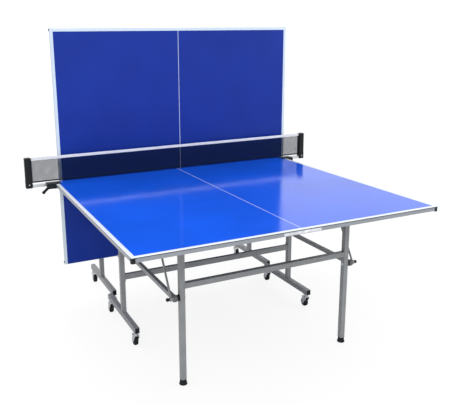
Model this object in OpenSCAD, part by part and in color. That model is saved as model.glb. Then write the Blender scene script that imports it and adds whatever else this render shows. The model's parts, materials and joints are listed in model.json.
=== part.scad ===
// Folding table tennis table: two free-standing rollaway halves. One half is down on its legs and
// carries the net, and the other half stands upright behind it as a rebound board.
// Millimetres, +Z up, X along the net, Y along the play. The near half lies towards -Y.

/* [Table top] */
// Width of the playing surface, along the net
top_w = 1525; // [1200:1:1830]
// Length of each half, from the net line to the end line
half_l = 1370; // [1142:1:1644]
// Height of the playing surface above the floor
surface_h = 760; // [730:1:912]
// Thickness of the playing sheet
sheet_t = 5; // [4:0.5:8]
// Height of the edge channel under the sheet
rail_h = 17; // [14:0.5:22]
// Width of the edge channel's flanges
rail_d = 24; // [18:1:34]
// Wall of the edge channel and of the cross members
rail_t = 1.5; // [1:0.1:2.5]
// How far the edge channel sits in from the sheet's edge
rail_inset = 2; // [1:0.25:3]
// Length of each side of a corner cap
cap_l = 16; // [14:1:44]
// Width of the cross members under the sheet
member_w = 40; // [32:1:50]

/* [Legs and struts] */
// Side of the square leg and upright tube
tube_w = 25; // [20:0.5:30]
// Wall of every frame tube
tube_t = 1.5; // [1:0.1:2.5]
// Distance of each leg's centre from the middle of the half
leg_x = 448; // [360:1:520]
// Distance from the end line to the leg's pivot
leg_in = 273; // [230:1:340]
// Height of the leg crossbar below the leg's pivot
leg_bar_drop = 230; // [150:1:255]
// Distance of the strut's pivots below the board's and the leg's pivots
strut_drop = 285; // [270:1:330]
// Width of a strut, along the net
strut_w = 18; // [14:0.5:24]
// Height of a strut
strut_h = 20; // [16:0.5:26]
// Length of the spacer between a leg and its strut
spacer_l = 12; // [10:0.5:20]
// Diameter of a stay rod
stay_d = 10; // [6:0.5:11]
// Distance from the leg's pivot back to the stay's roller, along the board
stay_back = 180; // [120:1:240]

/* [Trolleys] */
// Distance from the net line to the board's pivot
pivot_in = 476; // [450:1:520]
// Width of a floor bar
bar_w = 25; // [20:0.5:30]
// Height of a floor bar
bar_h = 30; // [24:0.5:38]
// Length of a floor bar from its upright towards the end line
bar_out = 219; // [183:1:300]
// Length of a floor bar from its upright towards the net line
bar_in = 256; // [214:1:330]
// Height of the trolley crossbar's middle above the floor
crossbar_z = 309; // [200:1:340]
// Depth of the trolley crossbar
crossbar_d = 20; // [15:1:24]
// Height of the trolley crossbar
crossbar_h = 30; // [20:1:40]
// Sideways gap between the near and the far floor bars
bar_gap = 11; // [8:0.5:20]
// Gap between the net line and the face of the raised half
panel_gap = 20; // [19:0.5:30]

/* [Casters and feet] */
// Diameter of a caster wheel
wheel_d = 50; // [42:1:56]
// Width of a caster wheel
wheel_w = 20; // [16:0.5:24]
// Distance from a caster's swivel axis back to its wheel
trail = 15; // [12:0.5:18]
// Height of a caster, from the floor to the floor bar
caster_h = 80; // [76:1:90]
// Distance of a swivel axis in from the outer end of the floor bar
caster_out_in = 23; // [20:1:30]
// Distance of a swivel axis in from the inner end of the floor bar
caster_in_in = 26; // [20:1:40]
// Diameter of a levelling foot
foot_d = 38; // [28:1:38]
// Height of a levelling foot below its leg
foot_h = 26; // [18:1:36]

/* [Net] */
// Height of the net above the playing surface
net_h = 152.5; // [120:0.5:160]
// Distance of each post's middle from the centre line, past the table's side
net_over = 142.5; // [110:0.5:170]
// Distance of the net in from the net line
net_in = 25; // [24:0.5:40]
// Height of the white tape along the top of the net
tape_h = 16; // [12:0.5:22]
// Width of a net post, along the net
post_w = 38; // [30:1:44]
// Depth of a net post, along the play
post_d = 34; // [26:1:42]

/* [Fits] */
// Radial clearance of a pin or a stud that turns in its bore
fit = 0.05; // [0.02:0.01:0.1]
// Clearance between two faces that turn past each other
face_gap = 0.3; // [0.2:0.05:0.6]
// Radius of a hinge pin
pin_r = 5; // [4:0.25:6]
// Radius of the pin that joins leg, strut and stay
hub_pin_r = 6; // [5:0.25:7]

/* [Hidden] */
$fn = 48;

// Corner caps
cap_t = 2.5;
cap_foot = 3;
cap_round = 3;

// Gap between the ends of the members under the board
member_gap = 0.5;

// Brackets, pins and screws
pivot_room = 23;
plate_t = 2.5;
cheek_r = 14;
bracket_l = 100;
screw_r = 3;
screw_h = 2.5;
screw_in = 6;
washer_r = 9;
head_r = 8;
head_t = 3;
tube_top = 10;
strut_end = 12;
over = 1;

// Stays, their guides and the lock knobs
guide_t = 1.5;
guide_room = 1;
guide_past = 8;
roller_r = 7;
roller_drop = 13;
eye_r = 10;
eye_lap = 2;
stay_gap = 3;
upright_gap = 3.5;
hub_boss_r = 15;
hub_end = 1;
knob_r = 8.5;
knob_neck_r = 6;
knob_neck_l = 1;
plunger_r = 3;
plunger_l = 18;
spring_room = 4;

// Feet
stud_r = 5;
stud_l = 20;
plug_l = 26;
foot_rim_t = 9;
foot_rim_in = 1;
foot_taper = 4;

// Floor bars
end_cap_t = 3;
end_plug_l = 12;
flange_over = 12;
bolt_r = 6;

// Casters
axle_r = 3;
axle_nut_r = 5;
axle_nut_t = 3;
fork_t = 2.5;
fork_gap = 1.2;
boss_r = 12;
race_gap = 1;
mount_l = 36;
mount_t = 3;
crown_t = 5;
bridge_t = 3;
fork_skirt = 10;
fork_back = 9;
eyelet_r = 8;
hub_rim = 1;
tread_w = 8;
dish = 2;

// Net
tape_t = 3;
mesh_t = 1;
tape_lap = 1.5;
net_foot = 10;
post_foot = 18;
post_cap = 1;
post_round = 7;
arm_h = 16;
arm_w = 20;
jaw_l = 28;
jaw_t = 3;
block_past = 12;
block_off = 1;
block_l = 30;
block_top = 2;
slot_back = 9;
slot_side = 1;
lever_w = 13;
lever_t = 13;
lever_l = 46;
lever_a = 42;
lever_hub_r = 7.5;
lever_tip_r = 8;
lever_pin_in = 0.5;
clamp_out = 38;
clamp_back = 35;
lever_down = 14;

// Heights and reaches worked out from the sizes above
under_w = pivot_room;
sheet_w = under_w + rail_h;
top_rise = sheet_w + sheet_t;
pivot_z = surface_h - top_rise;
end_u = half_l - pivot_in;
leg_reach = end_u - leg_in;
rail_x = top_w / 2 - rail_inset;
cap_proud = cap_t - rail_inset;
bar_top = caster_h + bar_h;

// Positions across a half, from the leg outwards
strut_x = leg_x + tube_w / 2 + spacer_l + strut_w / 2;
stay_x = strut_x + strut_w / 2 + stay_gap + stay_d / 2;
eye_w = stay_d + 1;
stay_in = stay_x - eye_w / 2;
stay_out = stay_x + eye_w / 2;
guide_x = stay_x + stay_d / 2 + guide_room + guide_t;
upright_x = guide_x + upright_gap + 2 * plate_t + tube_w / 2;

// The stay runs from the hub on the leg to a roller in the guide under the board
roller_w = pivot_room - roller_drop;
stay_rise = strut_drop + roller_w;
stay_l = sqrt(stay_back * stay_back + stay_rise * stay_rise);
stay_down = atan2(stay_rise, -stay_back);
stay_folded = 360 - acos(-roller_w / stay_l);

// The far half stands raised and a little to one side, so that the two halves' casters pass
far_x = bar_w + bar_gap;
far_pivot_y = panel_gap + top_rise;

// The origin is under the middle of the whole table
front_y = -half_l - cap_proud;
rear_y = far_pivot_y + bar_out + end_cap_t;
mid_y = (front_y + rear_y) / 2;

// Caster positions
race_z = caster_h - boss_r - race_gap;

// Net positions
post_x = top_w / 2 + net_over;
post_in = post_x - post_w / 2;
net_top = surface_h + net_h;
net_bottom = surface_h + net_foot;
clamp_x = top_w / 2 + clamp_out;
lever_y = -net_in - clamp_back;
lever_z = surface_h - lever_down;

// ---------- general shapes ----------

// A box given by its lowest and its highest corner
module span(low, high) {
    translate(low) cube(high - low);
}

// A round bar along X
module rod_x(r, x0, x1) {
    translate([x0, 0, 0]) rotate([0, 90, 0]) cylinder(r = r, h = x1 - x0);
}

// A washer or a spacer along X
module ring_x(outer, inner, x0, x1) {
    difference() {
        rod_x(outer, x0, x1);
        rod_x(inner, x0 - over, x1 + over);
    }
}

// A shallow tray, open at the top
module tray(low, high, wall) {
    difference() {
        span(low, high);
        span(low + [wall, wall, wall], high + [-wall, -wall, over]);
    }
}

// An upright block with rounded vertical edges, standing on z = 0
module soft_block(size, r) {
    w = size[0] / 2;
    d = size[1] / 2;
    span([-w + r, -d, 0], [w - r, d, size[2]]);
    span([-w, -d + r, 0], [w, d - r, size[2]]);
    for (x = [-w + r, w - r])
        for (y = [-d + r, d - r])
            translate([x, y, 0]) cylinder(r = r, h = size[2]);
}

module both_sides() {
    children();
    mirror([1, 0, 0]) children();
}

// ---------- placing ----------

// Everything is drawn from the net line, then moved so that the origin is under the middle
module placed() {
    translate([0, -mid_y, 0]) children();
}

// A half is drawn with its board's pivot at the origin and Y towards its own end line
module near_half() {
    placed() translate([0, -pivot_in, pivot_z]) mirror([0, 1, 0]) children();
}

module far_half() {
    placed() translate([far_x, far_pivot_y, pivot_z]) children();
}

// The four bodies of a half turn about these pivots; fold is 0 with the board down, 90 upright
module on_board(fold) {
    rotate([fold, 0, 0]) children();
}

module on_legs(fold) {
    translate([0, leg_reach * cos(fold), leg_reach * sin(fold)]) children();
}

module on_struts(fold) {
    translate([0, 0, -strut_drop]) rotate([fold, 0, 0]) children();
}

module on_stays(fold) {
    turn = stay_down + (stay_folded - stay_down) * fold / 90;
    on_legs(fold) translate([0, 0, -strut_drop]) rotate([turn, 0, 0]) children();
}

// ---------- board ----------

module board_sheet() {
    color("royalblue")
        span([-top_w / 2, -pivot_in, sheet_w], [top_w / 2, end_u, top_rise]);
}

module edge_rails() {
    low_y = -pivot_in + rail_inset;
    high_y = end_u - rail_inset;
    color("silver")
        difference() {
            span([-rail_x, low_y, under_w], [rail_x, high_y, sheet_w]);
            span([-rail_x + rail_d, low_y + rail_d, under_w - over],
                 [rail_x - rail_d, high_y - rail_d, sheet_w + over]);
            span([-rail_x + rail_t, low_y + rail_t, under_w + rail_t],
                 [rail_x - rail_t, high_y - rail_t, sheet_w - rail_t]);
        }
}

// One cap wraps the outer corner of the edge channel, with a lip under it
module corner_cap() {
    r = cap_t + cap_round;
    difference() {
        union() {
            span([-cap_l, -r, -cap_foot], [-r, 0, rail_h]);
            span([-cap_l, -cap_l, -cap_foot], [-r, -r, rail_h]);
            span([-r, -cap_l, -cap_foot], [0, -r, rail_h]);
            translate([-r, -r, -cap_foot]) cylinder(r = r, h = rail_h + cap_foot);
        }
        span([-cap_l - over, -cap_l - over, 0], [-cap_t, -cap_t, rail_h + over]);
        span([-cap_l - over, -cap_l - over, -cap_foot - over],
             [-cap_l / 2, -cap_l / 2, over]);
    }
}

module corner_caps() {
    x = rail_x + cap_t;
    color("black")
        both_sides() {
            translate([x, end_u + cap_proud, under_w]) corner_cap();
            translate([x, -pivot_in - cap_proud, under_w]) mirror([0, 1, 0]) corner_cap();
        }
}

// Cross members at both pivots and one member down the middle
module under_frame() {
    x = rail_x - rail_d;
    half_w = member_w / 2;
    low_y = -pivot_in + rail_inset + rail_d;
    high_y = end_u - rail_inset - rail_d;
    end_w = half_w + member_gap;
    spans = [[low_y, -end_w], [end_w, leg_reach - end_w], [leg_reach + end_w, high_y]];
    color("gray") {
        for (y = [0, leg_reach])
            tray([-x, y - half_w, under_w], [x, y + half_w, sheet_w], rail_t);
        for (s = spans)
            tray([-half_w, s[0], under_w], [half_w, s[1], sheet_w], rail_t);
    }
}

// A clevis under the board, around a tube whose middle is at x
module clevis(x) {
    half = tube_w / 2 + plate_t;
    plate_w = under_w - plate_t;
    screw_y = member_w / 2 - screw_in;
    difference() {
        union() {
            span([x - half - plate_t, -bracket_l / 2, plate_w],
                 [x + half + plate_t, bracket_l / 2, under_w]);
            for (x0 = [x - half - plate_t, x + half]) {
                translate([x0 + plate_t, 0, 0]) rotate([0, -90, 0])
                    linear_extrude(plate_t)
                        polygon([[0, -cheek_r], [0, cheek_r],
                                 [plate_w, bracket_l / 2], [plate_w, -bracket_l / 2]]);
                rod_x(cheek_r, x0, x0 + plate_t);
            }
            for (y = [-screw_y, screw_y])
                translate([x, y, plate_w - screw_h]) cylinder(r = screw_r, h = screw_h);
        }
        rod_x(pin_r + fit, x - half - plate_t - over, x + half + plate_t + over);
    }
}

module hinge_brackets() {
    color("dimgray")
        both_sides() {
            clevis(upright_x);
            translate([0, leg_reach, 0]) clevis(leg_x);
        }
}

// A channel under the board, open downwards, that the stay's roller runs in
module stay_guides() {
    room = stay_d / 2 + guide_room;
    low_y = -stay_l + leg_reach - strut_drop - roller_r - guide_past;
    high_y = leg_reach + member_w / 2;
    low_w = under_w - roller_drop + guide_room / 2;
    color("lightgray")
        both_sides()
            difference() {
                span([stay_x - room - guide_t, low_y, low_w],
                     [stay_x + room + guide_t, high_y, under_w]);
                span([stay_x - room, low_y - over, low_w - over],
                     [stay_x + room, high_y + over, under_w - guide_t]);
            }
}

// ---------- legs, struts and stays ----------

// Two legs and their crossbar, drawn from the leg's pivot
module leg_frame() {
    foot_top = -pivot_z + foot_h;
    h = tube_w / 2;
    i = h - tube_t;
    color("gray")
        difference() {
            union() {
                both_sides()
                    span([leg_x - h, -h, foot_top], [leg_x + h, h, tube_top]);
                span([-leg_x, -h, -leg_bar_drop - h], [leg_x, h, -leg_bar_drop + h]);
            }
            both_sides() {
                span([leg_x - i, -i, foot_top + plug_l], [leg_x + i, i, tube_top + over]);
                translate([leg_x, 0, foot_top - over])
                    cylinder(r = stud_r + fit, h = plug_l + 2 * over);
                rod_x(pin_r + fit, leg_x - h - over, leg_x + h + over);
                translate([0, 0, -strut_drop])
                    rod_x(hub_pin_r + fit, leg_x - h - over, leg_x + h + over);
            }
            span([-leg_x, -i, -leg_bar_drop - i], [leg_x, i, -leg_bar_drop + i]);
        }
}

module leg_top_pin() {
    half = tube_w / 2 + 2 * plate_t + face_gap;
    rod_x(pin_r, leg_x - half, leg_x + half);
    rod_x(head_r, leg_x - half - head_t, leg_x - half);
    rod_x(head_r, leg_x + half, leg_x + half + head_t);
}

// The hub pin carries the strut and the stay, and its outer end guides the lock knob's plunger
module hub_pin() {
    h = tube_w / 2;
    end_x = stay_out + face_gap + hub_end;
    difference() {
        union() {
            rod_x(hub_pin_r, leg_x - h, end_x);
            rod_x(washer_r, leg_x - h - head_t, leg_x - h);
            rod_x(washer_r, leg_x + h, strut_x - strut_w / 2 - face_gap);
            rod_x(hub_boss_r, leg_x + h, leg_x + h + plate_t);
        }
        rod_x(plunger_r + fit, end_x - plunger_l - spring_room, end_x + over);
    }
    ring_x(washer_r, hub_pin_r + fit, strut_x + strut_w / 2 + face_gap, stay_in - face_gap);
}

module leg_pins() {
    color("silver")
        both_sides() {
            leg_top_pin();
            translate([0, 0, -strut_drop]) hub_pin();
        }
}

// A levelling foot with its threaded stud, drawn from the leg's pivot
module foot() {
    color("black")
        translate([leg_x, 0, -pivot_z]) {
            cylinder(r = foot_d / 2, h = foot_rim_t);
            cylinder(r1 = foot_d / 2 - foot_rim_in, r2 = foot_d / 2 - foot_rim_in - foot_taper,
                     h = foot_h - face_gap);
            cylinder(r = stud_r, h = foot_h + stud_l);
        }
}

// Both struts, drawn from their pivot on the uprights
module struts() {
    w = strut_w / 2;
    h = strut_h / 2;
    color("gray")
        both_sides()
            difference() {
                span([strut_x - w, -strut_end, -h], [strut_x + w, leg_reach + strut_end, h]);
                span([strut_x - w + tube_t, -strut_end - over, -h + tube_t],
                     [strut_x + w - tube_t, leg_reach + strut_end + over, h - tube_t]);
                rod_x(pin_r + fit, strut_x - w - over, strut_x + w + over);
                translate([0, leg_reach, 0])
                    rod_x(hub_pin_r + fit, strut_x - w - over, strut_x + w + over);
            }
}

// Both stays, drawn from the hub pin with the rod along Y
module stays() {
    color("silver")
        both_sides() {
            difference() {
                union() {
                    rod_x(eye_r, stay_in, stay_out);
                    translate([stay_x, eye_r - eye_lap, 0]) rotate([-90, 0, 0])
                        cylinder(d = stay_d, h = stay_l - eye_r);
                }
                rod_x(hub_pin_r + fit, stay_in - over, stay_out + over);
            }
            translate([0, stay_l, 0]) rod_x(roller_r, stay_in, stay_out);
        }
}

// A ball knob on a spring plunger, drawn from the hub pin
module lock_knob() {
    end_x = stay_out + face_gap + hub_end;
    ball_x = end_x + face_gap + knob_r + knob_neck_l;
    color("black") {
        rod_x(plunger_r, end_x - plunger_l, ball_x);
        rod_x(knob_neck_r, end_x + face_gap, ball_x);
        translate([ball_x, 0, 0]) sphere(r = knob_r);
    }
}

// ---------- trolley ----------

// Each side frame is an upright on a floor bar, with one hollow through both
module trolley_frame() {
    h = tube_w / 2;
    b = bar_w / 2;
    i = h - tube_t;
    bar_low = caster_h - pivot_z;
    bar_high = bar_top - pivot_z;
    color("gray")
        both_sides()
            difference() {
                union() {
                    span([upright_x - h, -h, bar_high - over], [upright_x + h, h, tube_top]);
                    span([upright_x - b, -bar_in, bar_low], [upright_x + b, bar_out, bar_high]);
                }
                span([upright_x - i, -i, bar_high - tube_t - over],
                     [upright_x + i, i, tube_top + over]);
                span([upright_x - b + tube_t, -bar_in - over, bar_low + tube_t],
                     [upright_x + b - tube_t, bar_out + over, bar_high - tube_t]);
                rod_x(pin_r + fit, upright_x - h - over, upright_x + h + over);
                translate([0, 0, -strut_drop])
                    rod_x(pin_r + fit, upright_x - h - over, upright_x + h + over);
            }
}

module trolley_crossbar() {
    x = upright_x - tube_w / 2;
    d = crossbar_d / 2;
    h = crossbar_h / 2;
    flange_h = h + flange_over;
    color("gray")
        translate([0, 0, crossbar_z - pivot_z])
            difference() {
                union() {
                    span([-x, -d, -h], [x, d, h]);
                    both_sides()
                        span([x - plate_t, -tube_w / 2, -flange_h], [x, tube_w / 2, flange_h]);
                }
                span([-x - over, -d + tube_t, -h + tube_t], [x + over, d - tube_t, h - tube_t]);
            }
}

// A plug for the end of a floor bar, standing out past the tube's end at y = 0
module end_cap() {
    w = bar_w / 2 - tube_t;
    h = bar_h / 2 - tube_t;
    span([-w, -end_plug_l, -h], [w, end_cap_t, h]);
}

module bar_end_caps() {
    color("black")
        translate([0, 0, caster_h + bar_h / 2 - pivot_z])
            both_sides() {
                translate([upright_x, bar_out, 0]) end_cap();
                translate([upright_x, -bar_in, 0]) mirror([0, 1, 0]) end_cap();
            }
}

// Board pivot pins, strut pivot pins with their spacers, and the crossbar's bolts
module trolley_pins() {
    h = tube_w / 2;
    board_half = h + 2 * plate_t;
    in_x = upright_x - h;
    out_x = upright_x + h;
    strut_in = strut_x - strut_w / 2;
    strut_out = strut_x + strut_w / 2;
    color("silver")
        both_sides() {
            rod_x(pin_r, upright_x - board_half, upright_x + board_half + face_gap);
            translate([upright_x + board_half + face_gap, 0, 0]) rod_x(head_r, 0, head_t);
            ring_x(washer_r, pin_r + fit, in_x - plate_t + face_gap, in_x);
            ring_x(washer_r, pin_r + fit, out_x, out_x + plate_t - face_gap);
            translate([0, 0, -strut_drop]) {
                rod_x(pin_r, strut_in - face_gap, out_x);
                rod_x(head_r, strut_in - face_gap - head_t, strut_in - face_gap);
                rod_x(head_r, out_x, out_x + head_t);
                rod_x(washer_r, strut_out + face_gap, in_x);
            }
            for (z = [-1, 1] * (crossbar_h + flange_over) / 2)
                translate([0, 0, crossbar_z - pivot_z + z])
                    rod_x(bolt_r, out_x, out_x + head_t);
        }
}

// ---------- casters, drawn from the swivel axis at floor level ----------

module caster_mount() {
    difference() {
        union() {
            translate([-bar_w / 2, -mount_l / 2, caster_h - mount_t])
                cube([bar_w, mount_l, mount_t]);
            translate([0, 0, race_z]) cylinder(r = boss_r, h = caster_h - race_z);
        }
        translate([0, 0, race_z - over]) cylinder(r = stud_r + fit, h = caster_h);
    }
}

module caster_fork() {
    top = race_z - race_gap;
    skirt = top - crown_t + race_gap;
    in_x = wheel_w / 2 + fork_gap;
    out_x = in_x + fork_t;
    wheel_z = wheel_d / 2;
    color("silver") {
        translate([0, 0, top - crown_t]) cylinder(r = boss_r, h = crown_t);
        translate([0, 0, top - over]) cylinder(r = stud_r, h = caster_h - face_gap - top + over);
        span([-out_x, -trail - fork_back, top - crown_t - race_gap],
             [out_x, boss_r, top - bridge_t]);
        for (x0 = [-out_x, in_x]) {
            translate([x0 + fork_t, 0, 0]) rotate([0, -90, 0])
                linear_extrude(fork_t)
                    polygon([[skirt, boss_r], [skirt - fork_skirt, boss_r],
                             [wheel_z, eyelet_r - trail], [wheel_z, -eyelet_r - trail],
                             [skirt, -trail - fork_back]]);
            translate([0, -trail, wheel_z]) rod_x(eyelet_r, x0, x0 + fork_t);
        }
        translate([0, -trail, wheel_z]) {
            rod_x(axle_r, -out_x - over, out_x + over);
            rod_x(axle_nut_r, -out_x - axle_nut_t, -out_x);
            rod_x(axle_nut_r, out_x, out_x + axle_nut_t);
        }
    }
}

// A wheel with a rounded tread and a dished side
module caster_wheel() {
    r = wheel_d / 2;
    w = wheel_w / 2;
    rim = r - tread_w + dish;
    // one side of the section, from the axle out to the tread
    side = [[axle_r + fit, w], [eyelet_r, w], [eyelet_r + hub_rim, w - dish],
            [r - tread_w, w - dish], [rim, w], [r - dish - hub_rim, w],
            [r - hub_rim, w - dish], [r, w - 2 * dish]];
    far_side = [for (k = [len(side) - 1:-1:0]) [side[k][0], -side[k][1]]];
    color("black")
        translate([0, -trail, r]) rotate([0, 90, 0])
            rotate_extrude()
                polygon(concat(side, far_side));
}

// Casters are numbered outer left, outer right, inner left, inner right
module at_caster(i) {
    side = i % 2 == 0 ? -1 : 1;
    y = i < 2 ? bar_out - caster_out_in : -bar_in + caster_in_in;
    translate([side * upright_x, y, -pivot_z]) children();
}

module caster_mounts() {
    color("silver")
        for (i = [0:3])
            at_caster(i) caster_mount();
}

// ---------- net ----------

module net_mesh() {
    color("darkslategray")
        placed() span([-post_in, -net_in - mesh_t / 2, net_bottom],
                      [post_in, -net_in + mesh_t / 2, net_top - tape_lap]);
}

module net_top_tape() {
    low = net_top - tape_h;
    color("white")
        placed()
            difference() {
                span([-post_in, -net_in - tape_t / 2, low], [post_in, -net_in + tape_t / 2, net_top]);
                span([-post_in - over, -net_in - mesh_t / 2, low - over],
                     [post_in + over, -net_in + mesh_t / 2, net_top - tape_lap]);
            }
}

module net_posts() {
    low = surface_h - post_foot;
    color("black")
        placed()
            both_sides()
                translate([post_x, -net_in, low])
                    soft_block([post_w, post_d, net_top + post_cap - low], post_round);
}

// Each clamp is an arm from the post, two jaws over the table's edge and a slotted lever block
module net_clamp() {
    jaw_in = top_w / 2 + cap_proud - jaw_l;
    jaw_low = surface_h - sheet_t - rail_h;
    block_in = top_w / 2 + cap_proud + block_off;
    block_out = clamp_x + block_past;
    y0 = lever_y - block_l / 2;
    y1 = lever_y + block_l / 2;
    arm_y = -net_in + arm_w / 2;
    // arm to the post
    span([block_in, arm_y - arm_w, surface_h - arm_h], [post_in, arm_y, surface_h]);
    // upper jaw
    span([jaw_in, y0, surface_h], [block_out, arm_y, surface_h + jaw_t]);
    // lower jaw and lever block, slotted for the lever
    difference() {
        union() {
            span([jaw_in, y0, jaw_low - jaw_t], [block_out, y1, jaw_low]);
            span([block_in, y0, jaw_low - jaw_t], [block_out, y1, surface_h]);
        }
        span([clamp_x - slot_back, lever_y - lever_w / 2 - slot_side, jaw_low - jaw_t - over],
             [block_out + over, lever_y + lever_w / 2 + slot_side, surface_h - block_top]);
        translate([clamp_x, y0 - over, lever_z]) rotate([-90, 0, 0])
            cylinder(r = axle_r + fit, h = block_l + 2 * over);
    }
}

module net_clamps() {
    color("dimgray")
        placed() both_sides() net_clamp();
}

// The lever turns on its own pin, between the two walls of the clamp's block
module net_lever() {
    w = lever_w / 2;
    pin = block_l / 2 - lever_pin_in;
    color("black")
        translate([clamp_x, lever_y, lever_z])
            rotate([0, lever_a, 0]) {
                rotate([-90, 0, 0]) {
                    translate([0, 0, -w]) cylinder(r = lever_hub_r, h = lever_w);
                    translate([0, 0, -pin]) cylinder(r = axle_r, h = 2 * pin);
                }
                span([0, -w, -lever_t / 2], [lever_l, w, lever_t / 2]);
                translate([lever_l, w, 0]) rotate([90, 0, 0])
                    cylinder(r = lever_tip_r, h = lever_w);
            }
}

// ---------- drawing ----------

module near_caster(i) {
    near_half() at_caster(i) children();
}

module far_caster(i) {
    far_half() at_caster(i) children();
}

near_half() on_board(0) board_sheet();  // near_board_sheet
near_half() on_board(0) edge_rails();  // near_edge_rails
near_half() on_board(0) corner_caps();  // near_corner_caps
near_half() on_board(0) under_frame();  // near_under_frame
near_half() on_board(0) hinge_brackets();  // near_hinge_brackets
near_half() on_board(0) stay_guides();  // near_stay_guides
near_half() on_legs(0) leg_frame();  // near_leg_frame
near_half() on_legs(0) leg_pins();  // near_leg_pins
near_half() on_legs(0) mirror([1, 0, 0]) foot();  // near_foot_left
near_half() on_legs(0) foot();  // near_foot_right
near_half() on_struts(0) struts();  // near_struts
near_half() on_stays(0) stays();  // near_stays
near_half() on_legs(0) translate([0, 0, -strut_drop]) mirror([1, 0, 0]) lock_knob();  // near_lock_knob_left
near_half() on_legs(0) translate([0, 0, -strut_drop]) lock_knob();  // near_lock_knob_right
near_half() trolley_frame();  // near_trolley_frame
near_half() trolley_crossbar();  // near_trolley_crossbar
near_half() bar_end_caps();  // near_bar_end_caps
near_half() trolley_pins();  // near_trolley_pins
near_half() caster_mounts();  // near_caster_mounts
near_caster(0) caster_fork();  // near_fork_outer_left
near_caster(1) caster_fork();  // near_fork_outer_right
near_caster(2) caster_fork();  // near_fork_inner_left
near_caster(3) caster_fork();  // near_fork_inner_right
near_caster(0) caster_wheel();  // near_wheel_outer_left
near_caster(1) caster_wheel();  // near_wheel_outer_right
near_caster(2) caster_wheel();  // near_wheel_inner_left
near_caster(3) caster_wheel();  // near_wheel_inner_right
far_half() on_board(90) board_sheet();  // far_board_sheet
far_half() on_board(90) edge_rails();  // far_edge_rails
far_half() on_board(90) corner_caps();  // far_corner_caps
far_half() on_board(90) under_frame();  // far_under_frame
far_half() on_board(90) hinge_brackets();  // far_hinge_brackets
far_half() on_board(90) stay_guides();  // far_stay_guides
far_half() on_legs(90) leg_frame();  // far_leg_frame
far_half() on_legs(90) leg_pins();  // far_leg_pins
far_half() on_legs(90) mirror([1, 0, 0]) foot();  // far_foot_left
far_half() on_legs(90) foot();  // far_foot_right
far_half() on_struts(90) struts();  // far_struts
far_half() on_stays(90) stays();  // far_stays
far_half() on_legs(90) translate([0, 0, -strut_drop]) mirror([1, 0, 0]) lock_knob();  // far_lock_knob_left
far_half() on_legs(90) translate([0, 0, -strut_drop]) lock_knob();  // far_lock_knob_right
far_half() trolley_frame();  // far_trolley_frame
far_half() trolley_crossbar();  // far_trolley_crossbar
far_half() bar_end_caps();  // far_bar_end_caps
far_half() trolley_pins();  // far_trolley_pins
far_half() caster_mounts();  // far_caster_mounts
far_caster(0) caster_fork();  // far_fork_outer_left
far_caster(1) caster_fork();  // far_fork_outer_right
far_caster(2) caster_fork();  // far_fork_inner_left
far_caster(3) caster_fork();  // far_fork_inner_right
far_caster(0) caster_wheel();  // far_wheel_outer_left
far_caster(1) caster_wheel();  // far_wheel_outer_right
far_caster(2) caster_wheel();  // far_wheel_inner_left
far_caster(3) caster_wheel();  // far_wheel_inner_right
net_mesh();
net_top_tape();
net_posts();
net_clamps();
placed() mirror([1, 0, 0]) net_lever();  // net_lever_left
placed() net_lever();  // net_lever_right
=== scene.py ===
"""Looks of a folding table tennis table: one half down with its net, one half standing raised."""

from __future__ import annotations

import json
import logging
import math
from dataclasses import dataclass
from enum import Enum
from typing import Callable, Iterable, Sequence

import bmesh
import bpy
from mathutils import Matrix, Vector

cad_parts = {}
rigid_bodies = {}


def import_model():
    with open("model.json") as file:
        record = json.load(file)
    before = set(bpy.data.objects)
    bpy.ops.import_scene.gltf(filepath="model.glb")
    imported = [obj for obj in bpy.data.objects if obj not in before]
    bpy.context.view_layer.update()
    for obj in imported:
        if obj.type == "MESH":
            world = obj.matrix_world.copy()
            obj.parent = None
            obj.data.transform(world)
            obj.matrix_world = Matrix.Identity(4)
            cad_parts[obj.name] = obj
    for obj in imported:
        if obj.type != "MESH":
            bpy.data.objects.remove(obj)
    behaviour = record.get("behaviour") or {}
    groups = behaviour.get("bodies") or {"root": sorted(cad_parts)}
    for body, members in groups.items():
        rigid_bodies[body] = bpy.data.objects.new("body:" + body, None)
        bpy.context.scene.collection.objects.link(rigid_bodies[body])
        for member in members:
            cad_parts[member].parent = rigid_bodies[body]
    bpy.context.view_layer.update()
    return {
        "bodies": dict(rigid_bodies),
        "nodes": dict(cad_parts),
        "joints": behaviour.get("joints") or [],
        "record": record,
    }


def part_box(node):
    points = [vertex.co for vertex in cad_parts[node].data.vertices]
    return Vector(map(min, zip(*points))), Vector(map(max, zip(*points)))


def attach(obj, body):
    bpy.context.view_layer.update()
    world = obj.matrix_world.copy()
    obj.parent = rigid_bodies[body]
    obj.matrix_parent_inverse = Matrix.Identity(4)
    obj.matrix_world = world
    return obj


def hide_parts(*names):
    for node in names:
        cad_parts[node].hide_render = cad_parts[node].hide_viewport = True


Flat = tuple[float, float]
Point = tuple[float, float, float]
Color = tuple[float, float, float, float]

LOG = logging.getLogger("table")
MM = 0.001
MERGE_GAP = 0.02 * MM
SMOOTH_UNDER = math.radians(38)
UPSIDE_DOWN = Matrix.Rotation(math.pi, 4, "X")
WHITE: Color = (1.0, 1.0, 1.0, 1.0)


# ---------- materials ----------


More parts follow.
